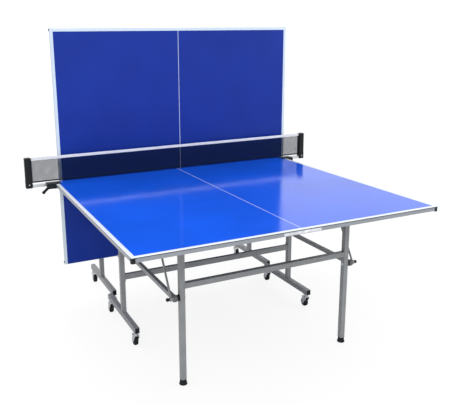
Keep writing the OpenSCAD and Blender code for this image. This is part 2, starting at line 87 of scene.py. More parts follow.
class Bench:
    """Builds one material's nodes around its Principled shader."""

    def __init__(self, name: str, color: Color, roughness: float, metallic: float = 0.0) -> None:
        """Starts a material.

        Args:
            name: The material's name.
            color: Its plain colour, set on the shader.
            roughness: Its roughness, set on the shader.
            metallic: Its metallic value, set on the shader.
        """
        self.material = bpy.data.materials.new(name)
        self.material.use_nodes = True
        self.tree = self.material.node_tree
        self.shader = self.tree.nodes["Principled BSDF"]
        self.shader.inputs["Base Color"].default_value = color
        self.shader.inputs["Roughness"].default_value = roughness
        self.shader.inputs["Metallic"].default_value = metallic
        self.place = self.tree.nodes.new("ShaderNodeTexCoord").outputs["Object"]

    def node(self, kind: str, **values: float | Sequence[float]) -> bpy.types.Node:
        """Adds a node.

        Args:
            kind: The node's type.
            **values: Input names, with _ for a space, and their values.

        Returns:
            The new node.
        """
        made = self.tree.nodes.new(kind)
        for name, value in values.items():
            made.inputs[name.replace("_", " ")].default_value = value
        return made

    def join(self, start: bpy.types.NodeSocket, end: bpy.types.NodeSocket) -> None:
        """Links an output to an input."""
        self.tree.links.new(start, end)

    def stretched(self, scale: Point) -> bpy.types.NodeSocket:
        """Returns the object coordinates scaled along each axis."""
        mapping = self.node("ShaderNodeMapping", Scale=scale)
        self.join(self.place, mapping.inputs["Vector"])
        return mapping.outputs["Vector"]

    def noise(self, scale: float, detail: float = 4.0,
              stretch: Point | None = None) -> bpy.types.NodeSocket:
        """Adds a noise texture.

        Args:
            scale: Its scale, in cells to the metre.
            detail: How many octaves it has.
            stretch: How much each axis is scaled first.

        Returns:
            The noise's value output.
        """
        made = self.node("ShaderNodeTexNoise", Scale=scale, Detail=detail)
        self.join(self.stretched(stretch) if stretch else self.place, made.inputs["Vector"])
        return made.outputs["Fac"]

    def wave(self, scale: float, axis: str) -> bpy.types.NodeSocket:
        """Returns a band texture that runs along one axis."""
        made = self.node("ShaderNodeTexWave", Scale=scale)
        made.bands_direction = axis
        self.join(self.place, made.inputs["Vector"])
        return made.outputs["Fac"]

    def spread(self, value: bpy.types.NodeSocket, low: float, high: float,
               start: float = 0.3, stop: float = 0.7) -> bpy.types.NodeSocket:
        """Maps a texture's value onto a range.

        Args:
            value: The texture's output.
            low: The result at start and below.
            high: The result at stop and above.
            start: The value that gives low.
            stop: The value that gives high.

        Returns:
            The mapped value.
        """
        made = self.node("ShaderNodeMapRange", From_Min=start, From_Max=stop, To_Min=low, To_Max=high)
        self.join(value, made.inputs["Value"])
        return made.outputs["Result"]

    def math(self, operation: str, first: bpy.types.NodeSocket,
             second: bpy.types.NodeSocket) -> bpy.types.NodeSocket:
        """Returns two values put together by one operation."""
        made = self.node("ShaderNodeMath")
        made.operation = operation
        self.join(first, made.inputs[0])
        self.join(second, made.inputs[1])
        return made.outputs[0]

    def tint(self, amount: bpy.types.NodeSocket, first: Color, second: Color) -> None:
        """Colours the surface between two colours by a value from 0 to 1."""
        made = self.node("ShaderNodeMix")
        made.data_type = "RGBA"
        for color in ("A", "B"):
            socket = [s for s in made.inputs if s.name == color and s.type == "RGBA"][0]
            socket.default_value = first if color == "A" else second
        self.join(amount, made.inputs["Factor"])
        result = [s for s in made.outputs if s.type == "RGBA"][0]
        self.join(result, self.shader.inputs["Base Color"])

    def rough(self, value: bpy.types.NodeSocket) -> None:
        """Drives the roughness by a value."""
        self.join(value, self.shader.inputs["Roughness"])

    def bump(self, height: bpy.types.NodeSocket, strength: float, distance: float) -> None:
        """Raises the surface by a height.

        Args:
            height: The height's output.
            strength: How strongly it shows, from 0 to 1.
            distance: What a height of 1 is, in metres.
        """
        made = self.node("ShaderNodeBump", Strength=strength, Distance=distance)
        self.join(height, made.inputs["Height"])
        previous = self.shader.inputs["Normal"]
        if previous.is_linked:
            self.join(previous.links[0].from_socket, made.inputs["Normal"])
        self.join(made.outputs["Normal"], self.shader.inputs["Normal"])


def shade(color: Color, factor: float) -> Color:
    """Returns a colour made lighter or darker by a factor."""
    return (min(color[0] * factor, 1.0), min(color[1] * factor, 1.0), min(color[2] * factor, 1.0), 1.0)


@dataclass(frozen=True)
class BoardLacquer:
    """Moulded playing surface: an even colour, a soft sheen, faint ball marks and a fine orange peel."""

    color: Color
    sheen: float = 0.11
    marks: float = 0.12
    gloss: float = 0.5

    def build(self, name: str) -> bpy.types.Material:
        """Returns the finish as a material."""
        bench = Bench(name, self.color, self.sheen)
        cloud = bench.noise(3.5, 6.0)
        speckle = bench.noise(900.0, 2.0)
        both = bench.math("ADD", bench.spread(cloud, 0.0, 0.8), bench.spread(speckle, 0.0, 0.2))
        bench.tint(both, shade(self.color, 1.0 - self.marks), shade(self.color, 1.0 + self.marks))
        smear = bench.noise(9.0, 7.0, (1.0, 0.35, 1.0))
        bench.rough(bench.spread(smear, self.sheen * 0.8, self.sheen * 1.35))
        bench.bump(bench.noise(420.0, 2.0), 0.06, 0.0002)
        bench.bump(bench.noise(2.2, 1.0), 0.12, 0.0008)
        bench.shader.inputs["Specular IOR Level"].default_value = self.gloss
        return bench.material


@dataclass(frozen=True)
class PowderCoat:
    """Powder-coated steel: orange peel, a little dust and small scuffs."""

    color: Color
    sheen: float = 0.42
    scuffs: float = 0.25

    def build(self, name: str) -> bpy.types.Material:
        """Returns the finish as a material."""
        bench = Bench(name, self.color, self.sheen)
        dust = bench.noise(14.0, 8.0)
        fleck = bench.noise(700.0, 3.0)
        both = bench.math("MULTIPLY", bench.spread(dust, 0.3, 1.0), bench.spread(fleck, 0.4, 1.0))
        bench.tint(both, shade(self.color, 1.0 - self.scuffs), shade(self.color, 1.0 + self.scuffs))
        bench.rough(bench.spread(dust, self.sheen * 0.85, self.sheen * 1.25))
        bench.bump(bench.noise(1300.0, 2.0), 0.22, 0.0002)
        bench.bump(bench.noise(160.0, 2.0), 0.1, 0.0003)
        return bench.material


@dataclass(frozen=True)
class StudioPaper:
    """Matt paper that glows where the camera sees it, so that it stays white and its shadows faint."""

    color: Color
    sheen: float = 0.6
    glow: float = 0.8
    strength: float = 1.07

    def build(self, name: str) -> bpy.types.Material:
        """Returns the finish as a material."""
        bench = Bench(name, self.color, self.sheen)
        lamp = bench.node("ShaderNodeEmission", Color=WHITE, Strength=self.strength)
        ray = bench.node("ShaderNodeLightPath")
        mix = bench.node("ShaderNodeMixShader")
        seen = bench.spread(ray.outputs["Is Camera Ray"], 0.0, self.glow, 0.0, 1.0)
        output = next(node for node in bench.tree.nodes if node.type == "OUTPUT_MATERIAL")
        bench.join(seen, mix.inputs[0])
        bench.join(bench.shader.outputs[0], mix.inputs[1])
        bench.join(lamp.outputs[0], mix.inputs[2])
        bench.join(mix.outputs[0], output.inputs["Surface"])
        return bench.material


@dataclass(frozen=True)
class ZincPlate:
    """Bright zinc plate: metallic, drawn along one axis, with dull patches."""

    color: Color = (0.62, 0.64, 0.67, 1.0)
    sheen: float = 0.32

    def build(self, name: str) -> bpy.types.Material:
        """Returns the finish as a material."""
        bench = Bench(name, self.color, self.sheen, 1.0)
        patch = bench.noise(60.0, 6.0)
        bench.tint(bench.spread(patch, 0.0, 1.0), shade(self.color, 0.78), shade(self.color, 1.12))
        bench.rough(bench.spread(patch, self.sheen * 0.8, self.sheen * 1.5))
        bench.bump(bench.noise(500.0, 3.0, (1.0, 1.0, 0.12)), 0.15, 0.0002)
        return bench.material


@dataclass(frozen=True)
class MouldedPlastic:
    """Moulded plastic or rubber with a spark-eroded grain."""

    color: Color
    sheen: float = 0.48
    grain: float = 0.35
    gloss: float = 0.3

    def build(self, name: str) -> bpy.types.Material:
        """Returns the finish as a material."""
        bench = Bench(name, self.color, self.sheen)
        wear = bench.noise(35.0, 6.0)
        bench.tint(bench.spread(wear, 0.0, 1.0), shade(self.color, 0.75), shade(self.color, 1.5))
        bench.rough(bench.spread(wear, self.sheen * 0.85, self.sheen * 1.2))
        bench.bump(bench.noise(1800.0, 2.0), self.grain, 0.0002)
        bench.shader.inputs["Specular IOR Level"].default_value = self.gloss
        return bench.material


@dataclass(frozen=True)
class WovenCloth:
    """Twisted or woven textile: crossed threads in bump and colour, with a soft sheen at the edges."""

    color: Color
    threads: float = 260.0
    fuzz: float = 0.25

    def build(self, name: str) -> bpy.types.Material:
        """Returns the finish as a material."""
        bench = Bench(name, self.color, 0.85)
        warp = bench.wave(self.threads, "X")
        weft = bench.wave(self.threads, "Z")
        weave = bench.math("MULTIPLY", warp, weft)
        soil = bench.noise(22.0, 6.0)
        both = bench.math("MULTIPLY", bench.spread(weave, 0.6, 1.0, 0.0, 1.0), bench.spread(soil, 0.7, 1.0))
        bench.tint(both, shade(self.color, 0.62), shade(self.color, 1.06))
        bench.bump(weave, 0.5, 0.0004)
        bench.shader.inputs["Sheen Weight"].default_value = self.fuzz
        bench.shader.inputs["Specular IOR Level"].default_value = self.fuzz
        return bench.material


class Finish(Enum):
    """Every finish on the table."""

    BLUE = BoardLacquer((0.008, 0.105, 0.78, 1.0))
    # Darker copy of BLUE for the raised half: painted shade on the standing board, also rougher and less
    # glossy.
    BLUE_RAISED = BoardLacquer((0.008, 0.032, 0.28, 1.0), 0.2, 0.12, 0.15)
    LINE = BoardLacquer((0.74, 0.79, 0.86, 1.0), 0.2, 0.03)
    # Darker copy of LINE for the raised half: painted shade on its lines.
    LINE_RAISED = BoardLacquer((0.60, 0.70, 0.80, 1.0), 0.3, 0.03, 0.2)
    JOINT = MouldedPlastic((0.06, 0.062, 0.066, 1.0), 0.6)
    BACKING = PowderCoat((0.055, 0.07, 0.11, 1.0), 0.55, 0.2)
    RAIL = PowderCoat((0.26, 0.28, 0.315, 1.0), 0.36, 0.1)
    TUBE = PowderCoat((0.232, 0.242, 0.252, 1.0), 0.4, 0.15)
    DARK = PowderCoat((0.085, 0.088, 0.094, 1.0), 0.45, 0.2)
    ZINC = ZincPlate()
    BLACK = MouldedPlastic((0.007, 0.009, 0.011, 1.0), 0.5, 0.35, 0.22)
    RUBBER = MouldedPlastic((0.011, 0.012, 0.013, 1.0), 0.7, 0.5, 0.2)
    HUB = MouldedPlastic((0.10, 0.105, 0.11, 1.0), 0.5)
    CORD = WovenCloth((0.006, 0.014, 0.040, 1.0), 900.0, 0.04)
    TAPE = WovenCloth((0.80, 0.81, 0.84, 1.0), 420.0)
    BADGE = MouldedPlastic((0.56, 0.58, 0.62, 1.0), 0.35, 0.1)
    FLOOR = StudioPaper((0.72, 0.72, 0.722, 1.0))

    def material(self) -> bpy.types.Material:
        """Returns this finish's one material, built the first time it is asked for."""
        name = self.name.lower()
        return bpy.data.materials.get(name) or self.value.build(name)


SLOT_FINISH = {
    "blue_surface": Finish.BLUE, "silver_rail": Finish.RAIL, "grey_steel": Finish.TUBE,
    "dark_steel": Finish.DARK, "zinc": Finish.ZINC, "black_plastic": Finish.BLACK,
    "black_rubber": Finish.RUBBER, "net_cord": Finish.CORD, "white_tape": Finish.TAPE,
}


# ---------- mesh helpers ----------


def spaced(low: float, high: float, count: int) -> list[float]:
    """Returns evenly spaced values from low to high, both ends counted."""
    return [low + (high - low) * k / (count - 1) for k in range(count)]


def circle(radius: float, steps: int) -> list[Flat]:
    """Returns points evenly spaced round a circle about the origin."""
    turns = [2 * math.pi * k / steps for k in range(steps)]
    return [(radius * math.cos(a), radius * math.sin(a)) for a in turns]


def half_oval(middle: float, wide: float, tall: float, start: float, steps: int) -> list[Flat]:
    """Returns points along half of an oval whose middle is on the first axis.

    Args:
        middle: Where its middle is on the first axis.
        wide: Its radius along the first axis.
        tall: Its radius along the second axis.
        start: The angle it starts from.
        steps: How many steps it takes.

    Returns:
        The points, one more than the steps.
    """
    turns = [start + math.pi * k / steps for k in range(steps + 1)]
    return [(middle + wide * math.cos(a), tall * math.sin(a)) for a in turns]


def turned(place: Matrix, count: int) -> list[Matrix]:
    """Returns a place turned about its own Z axis, in equal steps round a full turn."""
    return [place @ Matrix.Rotation(2 * math.pi * k / count, 4, "Z") for k in range(count)]


def ring_faces(mesh: bmesh.types.BMesh, first: Sequence[bmesh.types.BMVert],
               second: Sequence[bmesh.types.BMVert], index: int = 0) -> None:
    """Bridges two rings of points with four-sided faces.

    Args:
        mesh: The mesh that is built.
        first: One ring.
        second: The other ring, of as many points as the first.
        index: The faces' material index.
    """
    count = len(first)
    for i in range(count):
        j = (i + 1) % count
        face = mesh.faces.new((first[i], first[j], second[j], second[i]))
        face.material_index = index
        face.smooth = True


def loft(mesh: bmesh.types.BMesh, rings: Sequence[Sequence[Point]], index: int = 0) -> None:
    """Skins a row of closed sections and closes both ends.

    Args:
        mesh: The mesh that is built.
        rings: The sections, each a ring of points of the same number.
        index: The faces' material index.
    """
    rows = [[mesh.verts.new(p) for p in ring] for ring in rings]
    for first, second in zip(rows, rows[1:]):
        ring_faces(mesh, first, second, index)
    for row in (rows[0], rows[-1]):
        mesh.faces.new(row).material_index = index


def lathe(mesh: bmesh.types.BMesh, profile: Sequence[Flat], place: Matrix,
          steps: int = 32, index: int = 0) -> None:
    """Turns a profile about the Z axis of a place.

    Args:
        mesh: The mesh that is built.
        profile: Radius and height of each point, from one end of the axis to the other.
        place: The matrix that puts the turned shape where it goes.
        steps: How many faces go round.
        index: The faces' material index.
    """
    loft(mesh, [[place @ Vector((x, y, height)) for x, y in circle(radius, steps)]
                for radius, height in profile], index)


def block(mesh: bmesh.types.BMesh, low: Point, high: Point, place: Matrix, index: int = 0) -> None:
    """Adds a box between two corners, in a place of its own."""
    corners = [(low[0], low[1]), (high[0], low[1]), (high[0], high[1]), (low[0], high[1])]
    loft(mesh, [[place @ Vector((x, y, z)) for x, y in corners] for z in (low[2], high[2])], index)


def rounded(width: float, depth: float, radius: float, steps: int = 5) -> list[Flat]:
    """Returns the outline of a rectangle with round corners, about its middle."""
    points = []
    for k, (sx, sy) in enumerate(((1, 1), (-1, 1), (-1, -1), (1, -1))):
        for i in range(steps + 1):
            angle = (k + i / steps) * math.pi / 2
            points.append((sx * (width / 2 - radius) + radius * math.cos(angle),
                           sy * (depth / 2 - radius) + radius * math.sin(angle)))
    return points


def tube_ring(mesh: bmesh.types.BMesh, path: Sequence[Vector], radius: Callable[[int], float],
              normal: Vector, steps: int = 6) -> None:
    """Sweeps a round section along a closed path that lies in one plane.

    Args:
        mesh: The mesh that is built.
        path: The path's points.
        radius: The section's radius at each point's number.
        normal: The plane's normal.
        steps: How many faces go round the section.
    """
    rows = []
    for i, point in enumerate(path):
        ahead = path[(i + 1) % len(path)]
        side = (ahead - path[i - 1]).normalized().cross(normal).normalized()
        rows.append([mesh.verts.new(point + side * x + normal * y) for x, y in circle(radius(i), steps)])
    for first, second in zip(rows, rows[1:] + rows[:1]):
        ring_faces(mesh, first, second)


def along(axis: Point, at: Point) -> Matrix:
    """Returns the place whose Z axis points along a direction, at a point."""
    return Matrix.Translation(at) @ Vector(axis).to_track_quat("Z", "Y").to_matrix().to_4x4()


def bevel_edges(thing: bpy.types.Object, width: float, over: float) -> None:
    """Welds a thing's faces together and bevels its sharp edges.

    Args:
        thing: The object.
        width: The bevel's width.
        over: The angle in degrees from which an edge is sharp.
    """
    weld = thing.modifiers.new("weld", "WELD")
    weld.merge_threshold = MERGE_GAP
    bevel = thing.modifiers.new("bevel", "BEVEL")
    bevel.width = width
    bevel.segments = 2
    bevel.limit_method = "ANGLE"
    bevel.angle_limit = math.radians(over)


def screw(mesh: bmesh.types.BMesh, place: Matrix, radius: float, index: int = 0) -> None:
    """Adds a pan-head screw with a round recess, its head up along the place's Z."""
    shape = ((1.0, 0.0), (1.0, 0.25), (0.86, 0.5), (0.55, 0.62), (0.42, 0.62), (0.32, 0.3))
    lathe(mesh, [(out * radius, up * radius) for out, up in shape], place, 14, index)


def hexagon(mesh: bmesh.types.BMesh, place: Matrix, radius: float, height: float) -> None:
    """Adds a hexagon nut on its washer, with chamfered corners and the pin's round end, up along Z."""
    washer = ((1.25, 0.0), (1.25, 0.18))
    nut = ((1.0, 0.18), (1.0, 0.85), (0.86, 1.0))
    end = ((0.5, 0.9), (0.5, 1.2), (0.38, 1.32))
    for shape, steps in ((washer, 24), (nut, 6), (end, 14)):
        lathe(mesh, [(out * radius, up * height) for out, up in shape], place, steps)


@dataclass
class Workshop:
    """Turns finished meshes into pieces of the table and keeps count of them."""

    frame: dict
    made: int = 0

    def piece(self, name: str, mesh: bmesh.types.BMesh, finishes: Sequence[Finish], body: str,
              slot: str, replaces: Iterable[str] = (), edge: float = 0.0) -> bpy.types.Object:
        """Makes a piece that rides on a body.

        Args:
            name: The piece's name.
            mesh: Its mesh, in the row frame.
            finishes: Its finishes, in the order of the mesh's material indices.
            body: The body it rides on.
            slot: The record's material slot that it stands for. Not used.
            replaces: The nodes that it stands for.
            edge: The width of a bevel on its sharp edges, or 0 for none.

        Returns:
            The new object.
        """
        bmesh.ops.recalc_face_normals(mesh, faces=mesh.faces)
        data = bpy.data.meshes.new(name)
        mesh.to_mesh(data)
        mesh.free()
        thing = bpy.data.objects.new(name, data)
        bpy.context.scene.collection.objects.link(thing)
        for finish in finishes:
            data.materials.append(finish.material())
        self.soften(thing, edge)
        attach(thing, body)
        if replaces:
            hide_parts(*replaces)
        self.made += 1
        LOG.info("%s: %d faces, on %s", name, len(data.polygons), body)
        return thing

    @staticmethod
    def soften(thing: bpy.types.Object, edge: float) -> None:
        """Bevels a thing's sharp edges, if asked to, and shades it smooth between them."""
        if edge > 0:
            bevel_edges(thing, edge, 40)
        for face in thing.data.polygons:
            face.use_smooth = True
        thing.data.set_sharp_from_angle(angle=SMOOTH_UNDER)

    def pivot(self, name: str) -> Vector:
        """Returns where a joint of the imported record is, by its name."""
        joint = next(j for j in self.frame["joints"] if j["name"] == name)
        return Vector(joint["pos_m"])


# ---------- the two halves ----------


class Side(Enum):
    """The two sides of the table, as its nodes name them."""

    LEFT = "left"
    RIGHT = "right"

    @property
    def sign(self) -> int:
        """Returns which way along X the side is."""
        return 1 if self is Side.RIGHT else -1


class Corner(Enum):
    """A trolley's casters: those next to the net are the inner ones."""

    OUTER_LEFT = "outer_left"
    OUTER_RIGHT = "outer_right"
    INNER_LEFT = "inner_left"
    INNER_RIGHT = "inner_right"


@dataclass
class Half:
    """One half of the table, with the place of its board: X across, Y towards the end line, Z up."""

    name: str
    place: Matrix

    def local_box(self, node: str) -> tuple[Vector, Vector]:
        """Returns a node's lowest and highest corners in the board's own place."""
        inverse = self.place.inverted()
        ends = [inverse @ Vector(corner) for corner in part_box(f"{self.name}_{node}")]
        low = Vector([min(a, b) for a, b in zip(*ends)])
        high = Vector([max(a, b) for a, b in zip(*ends)])
        return low, high


@dataclass
class HalfPart:
    """What every sub-assembly of a half shares. Names are given without the half's own."""

    shop: Workshop
    half: Half

    def box(self, node: str) -> tuple[Vector, Vector]:
        """Returns the lowest and highest corners of one of the half's nodes."""
        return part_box(f"{self.half.name}_{node}")

    def pivot(self, joint: str) -> Vector:
        """Returns where one of the half's joints is."""
        return self.shop.pivot(f"{self.half.name}_{joint}")

    def piece(self, name: str, mesh: bmesh.types.BMesh, finishes: Sequence[Finish], body: str,
              slot: str, replaces: str = "", edge: float = 0.0) -> None:
        """Makes a piece that rides on one of the half's bodies.

        Args:
            name: The piece's name.
            mesh: Its mesh, in the row frame.
            finishes: Its finishes, in the order of the mesh's material indices.
            body: The body it rides on.
            slot: The record's material slot that it stands for.
            replaces: The node that it stands for, if any.
            edge: The width of a bevel on its sharp edges, or 0 for none.
        """
        own = self.half.name
        nodes = (f"{own}_{replaces}",) if replaces else ()
        self.shop.piece(f"{own}_{name}", mesh, finishes, f"{own}_{body}", slot, nodes, edge)


@dataclass
class PlayingBoard(HalfPart):
    """A half's playing sheet with its lines, its corner guards and the screws that hold it."""

    blue: Finish
    white: Finish
    line: float = 16 * MM
    centre_line: float = 3 * MM
    first_row: float = 30 * MM
    lip: float = 1.1 * MM
    guard_arm: float = 16 * MM
    guard_t: float = 2.5 * MM
    guard_r: float = 6 * MM
    guard_foot: float = 3 * MM
    groove: float = 0.5 * MM
    guard_screw_r: float = 2 * MM
    screw_r: float = 3.2 * MM
    screw_in: float = 12 * MM
    rail_end: float = 60 * MM
    member_end: float = 70 * MM

    def build(self) -> None:
        """Builds the sheet, the guards and the screws."""
        self.sheet()
        self.guards()
        self.screws()

    def sheet(self) -> None:
        """Builds the sheet, with its lines as faces of their own and a rounded white edge."""
        low, high = self.half.local_box("board_sheet")
        lip, line = self.lip, self.line
        x1 = high.x - lip
        xs = [-x1, -x1 + line, -self.centre_line / 2, self.centre_line / 2, x1 - line, x1]
        ys = [low.y + lip, low.y + lip + self.first_row, (low.y + high.y) / 2,
              high.y - lip - line, high.y - lip]
        mesh = bmesh.new()
        grid = [[mesh.verts.new((x, y, high.z)) for x in xs] for y in ys]
        for j, (near, far) in enumerate(zip(grid, grid[1:])):
            for i in range(len(xs) - 1):
                face = mesh.faces.new((near[i], near[i + 1], far[i + 1], far[i]))
                white = i in (0, 2, len(xs) - 2) or j == len(ys) - 2
                face.material_index = 1 if white else 0
        edge = (grid[0][:-1] + [row[-1] for row in grid[:-1]] + grid[-1][:0:-1]
                + [row[0] for row in grid[:0:-1]])
        sides = [(self.side(v.co.x, -x1, x1), self.side(v.co.y, ys[0], ys[-1])) for v in edge]
        self.rim(mesh, edge, sides, high.z - low.z)
        mesh.transform(self.half.place)
        finishes = (self.blue, self.white, Finish.JOINT, Finish.BACKING)
        self.piece("playing_sheet", mesh, finishes, "board", "blue_surface", "board_sheet")

    def rim(self, mesh: bmesh.types.BMesh, edge: Sequence[bmesh.types.BMVert],
            sides: Sequence[tuple[int, int]], depth: float) -> None:
        """Rounds the sheet over at its edge, takes its wall down and closes it below.

        Args:
            mesh: The mesh that is built.
            edge: The points round the playing face.
            sides: The way out of the sheet at each of those points.
            depth: The sheet's thickness.
        """
        lip = self.lip
        steps = [(0.35 * lip, 0.12 * MM, 1), (0.7 * lip, 0.35 * MM, 1), (0.93 * lip, 0.7 * MM, 1),
                 (lip, 1.1 * MM, 1), (lip, 1.4 * MM, 1), (0.1 * lip, 1.6 * MM, 2), (0.1 * lip, depth, 2)]
        previous = edge
        for out, drop, index in steps:
            row = [mesh.verts.new((v.co.x + sx * out, v.co.y + sy * out, v.co.z - drop))
                   for v, (sx, sy) in zip(edge, sides)]
            ring_faces(mesh, previous, row, index)
            previous = row
        mesh.faces.new(previous).material_index = 3

    @staticmethod
    def side(value: float, low: float, high: float) -> int:
        """Returns -1 at the low end, 1 at the high end and 0 between."""
        return (value > high - MM / 1000) - (value < low + MM / 1000)

    def guards(self) -> None:
        """Builds the four corner guards, each a ribbed wall round the corner with a lip under it."""
        low, high = self.half.local_box("corner_caps")
        mesh = bmesh.new()
        for sx in (-1, 1):
            for corner_y, sy in ((low.y, -1), (high.y, 1)):
                self.guard(mesh, Matrix.Translation((sx * high.x, corner_y, low.z))
                           @ Matrix.Diagonal((sx, sy, 1, 1)), high.z - low.z)
        mesh.transform(self.half.place)
        self.piece("corner_guards", mesh, (Finish.BLACK, Finish.ZINC), "board", "black_plastic",
                   "corner_caps", 0.4 * MM)

    def guard(self, mesh: bmesh.types.BMesh, place: Matrix, height: float) -> None:
        """Builds one guard with its outer corner at the place's origin, arms towards -X and -Y."""
        arm, radius, wall = self.guard_arm, self.guard_r, self.guard_t
        turns = [k * math.pi / 16 for k in range(9)]
        arc = [(-radius + radius * math.sin(a), -radius + radius * math.cos(a)) for a in turns]
        outer = [(-arm, 0.0)] + arc + [(0.0, -arm)]
        levels = ((0.0, 0), (0.14, 0), (0.3, 0), (0.34, 1), (0.4, 1), (0.44, 0), (0.56, 0), (0.6, 1),
                  (0.66, 1), (0.7, 0), (1.0, 0))
        rings = []
        for level, grooved in levels:
            front = [self.inward(p, grooved * self.groove) for p in outer]
            back = [self.inward(p, wall) for p in reversed(outer)]
            rings.append([place @ Vector((x, y, level * height)) for x, y in front + back])
        loft(mesh, rings)
        foot = [(-arm, -arm / 2), (-arm, -wall), (-wall, -wall), (-wall, -arm), (-arm / 2, -arm),
                (-arm / 2, -arm / 2)]
        loft(mesh, [[place @ Vector((x, y, z)) for x, y in foot] for z in (0.0, self.guard_foot)])
        for x, y in ((-arm * 0.78, -arm * 0.27), (-arm * 0.27, -arm * 0.78)):
            screw(mesh, place @ Matrix.Translation((x, y, 0)) @ UPSIDE_DOWN, self.guard_screw_r, 1)

    def inward(self, point: Flat, depth: float) -> Flat:
        """Returns a point of the guard's outline moved in from its outer face."""
        x, y = point
        radius = self.guard_r
        if x <= -radius:
            return x, y - depth
        if y <= -radius:
            return x - depth, y
        away = Vector((x + radius, y + radius)).normalized() * (radius - depth)
        return -radius + away.x, -radius + away.y

    def screws(self) -> None:
        """Builds the screws that hold the edge channel and the cross members to the sheet."""
        low, high = self.half.local_box("edge_rails")
        start, stop = self.half.local_box("under_frame")
        reach, end = self.screw_in, self.rail_end
        spots = []
        for y in spaced(low.y + end, high.y - end, 9):
            spots += [(low.x + reach, y, low.z), (high.x - reach, y, low.z)]
        for x in spaced(low.x + end, high.x - end, 10):
            spots += [(x, low.y + reach, low.z), (x, high.y - reach, low.z)]
        for x in spaced(start.x + self.member_end, stop.x - self.member_end, 8):
            spots += [(x, y, start.z) for y in (0.0, self.leg_pivot())]
        mesh = bmesh.new()
        for spot in spots:
            screw(mesh, Matrix.Translation(spot) @ UPSIDE_DOWN, self.screw_r)
        mesh.transform(self.half.place)
        self.piece("frame_screws", mesh, (Finish.ZINC,), "board", "zinc")

    def leg_pivot(self) -> float:
        """Returns how far the leg's pivot is from the board's."""
        return (self.half.place.inverted() @ self.pivot("leg_turn")).y


@dataclass
class Welds(HalfPart):
    """The weld beads where a half's frame tubes meet."""

    bead: float = 1.5 * MM
    ripple: float = 1.1 * MM
    tube: float = 25 * MM
    corner: float = 2 * MM
    proud: float = 0.6 * MM
    bar_drop: float = 230 * MM

    def build(self) -> None:
        """Builds the beads on the legs and on the trolley."""
        low, high = self.box("leg_frame")
        leg = self.pivot("leg_turn")
        mesh = bmesh.new()
        for x in (low.x + self.tube, high.x - self.tube):
            self.square(mesh, Vector((x, leg.y, leg.z - self.bar_drop)), Vector((1, 0, 0)))
        self.piece("leg_welds", mesh, (Finish.TUBE,), "legs", "grey_steel")
        low, high = self.box("trolley_frame")
        board = self.pivot("board_fold")
        bar_top = self.box("bar_end_caps")[1].z
        mesh = bmesh.new()
        for x in (low.x + self.tube / 2, high.x - self.tube / 2):
            self.square(mesh, Vector((x, board.y, bar_top)), Vector((0, 0, 1)))
        self.piece("trolley_welds", mesh, (Finish.TUBE,), "trolley", "grey_steel")

    def square(self, mesh: bmesh.types.BMesh, centre: Vector, normal: Vector) -> None:
        """Builds one rippled bead round a tube's square end.

        Args:
            mesh: The mesh that is built.
            centre: The middle of the joint.
            normal: The tube's direction.
        """
        first = Vector((0, 1, 0)) if abs(normal.x) > 0.5 else Vector((1, 0, 0))
        second = normal.cross(first)
        width = self.tube + self.proud
        outline = rounded(width, width, self.corner, 3)
        path = []
        for (x0, y0), (x1, y1) in zip(outline, outline[1:] + outline[:1]):
            steps = max(1, round(math.hypot(x1 - x0, y1 - y0) / self.ripple))
            for k in range(steps):
                t = k / steps
                path.append(centre + first * (x0 + (x1 - x0) * t) + second * (y0 + (y1 - y0) * t))
        tube_ring(mesh, path, lambda i: self.bead * (0.85 + 0.25 * (i % 2)), normal)


@dataclass
class PivotNuts(HalfPart):
    """The nuts on the outer ends of a half's pivot pins."""

    radius: float = 6.5 * MM
    height: float = 5 * MM
    strut_in: float = 5.3 * MM

    def build(self) -> None:
        """Builds the nuts on the pins of the board and of the struts."""
        low, high = self.box("trolley_pins")
        board, strut = self.pivot("board_fold"), self.pivot("strut_turn")
        mesh = bmesh.new()
        for sign, x in ((-1, low.x), (1, high.x)):
            for spot in ((x, board.y, board.z), (x - sign * self.strut_in, strut.y, strut.z)):
                hexagon(mesh, along((sign, 0, 0), spot), self.radius, self.height)
        self.piece("pivot_nuts", mesh, (Finish.ZINC,), "trolley", "zinc", "", 0.3 * MM)


@dataclass
class HubParts(HalfPart):
    """The bushes between a half's legs and its struts, and the moulded ends of the struts."""

    bush_r: float = 15.4 * MM
    strut_w: float = 18 * MM
    end_r: float = 16.0 * MM

    def build(self) -> None:
        """Builds both bushes on the legs, and both round ends on the struts."""
        legs, struts = self.box("leg_frame"), self.box("struts")
        hub = self.pivot("stay_turn")
        bushes, ends = bmesh.new(), bmesh.new()
        for sign, leg, strut in ((-1, legs[0].x, struts[0].x), (1, legs[1].x, struts[1].x)):
            length = abs(strut - leg) - self.strut_w
            bush = [(self.bush_r, 0.1 * MM), (self.bush_r, 3 * MM), (self.bush_r * 0.86, 3.6 * MM),
                    (self.bush_r * 0.86, length - 1.2 * MM), (self.bush_r * 0.8, length - 0.5 * MM)]
            lathe(bushes, bush, along((sign, 0, 0), (leg, hub.y, hub.z)), 32)
            half = self.strut_w / 2
            edge = [(self.end_r, half - 2.4 * MM), (self.end_r - 0.8 * MM, half - 0.6 * MM),
                    (self.end_r - 3 * MM, half + 0.2 * MM)]
            end = [(r, -h) for r, h in edge[::-1]] + edge
            lathe(ends, end, along((1, 0, 0), (strut - sign * half, hub.y, hub.z)), 40)
        self.piece("hub_bushes", bushes, (Finish.BLACK,), "legs", "black_plastic")
        self.piece("strut_ends", ends, (Finish.HUB,), "strut_pair", "black_plastic")


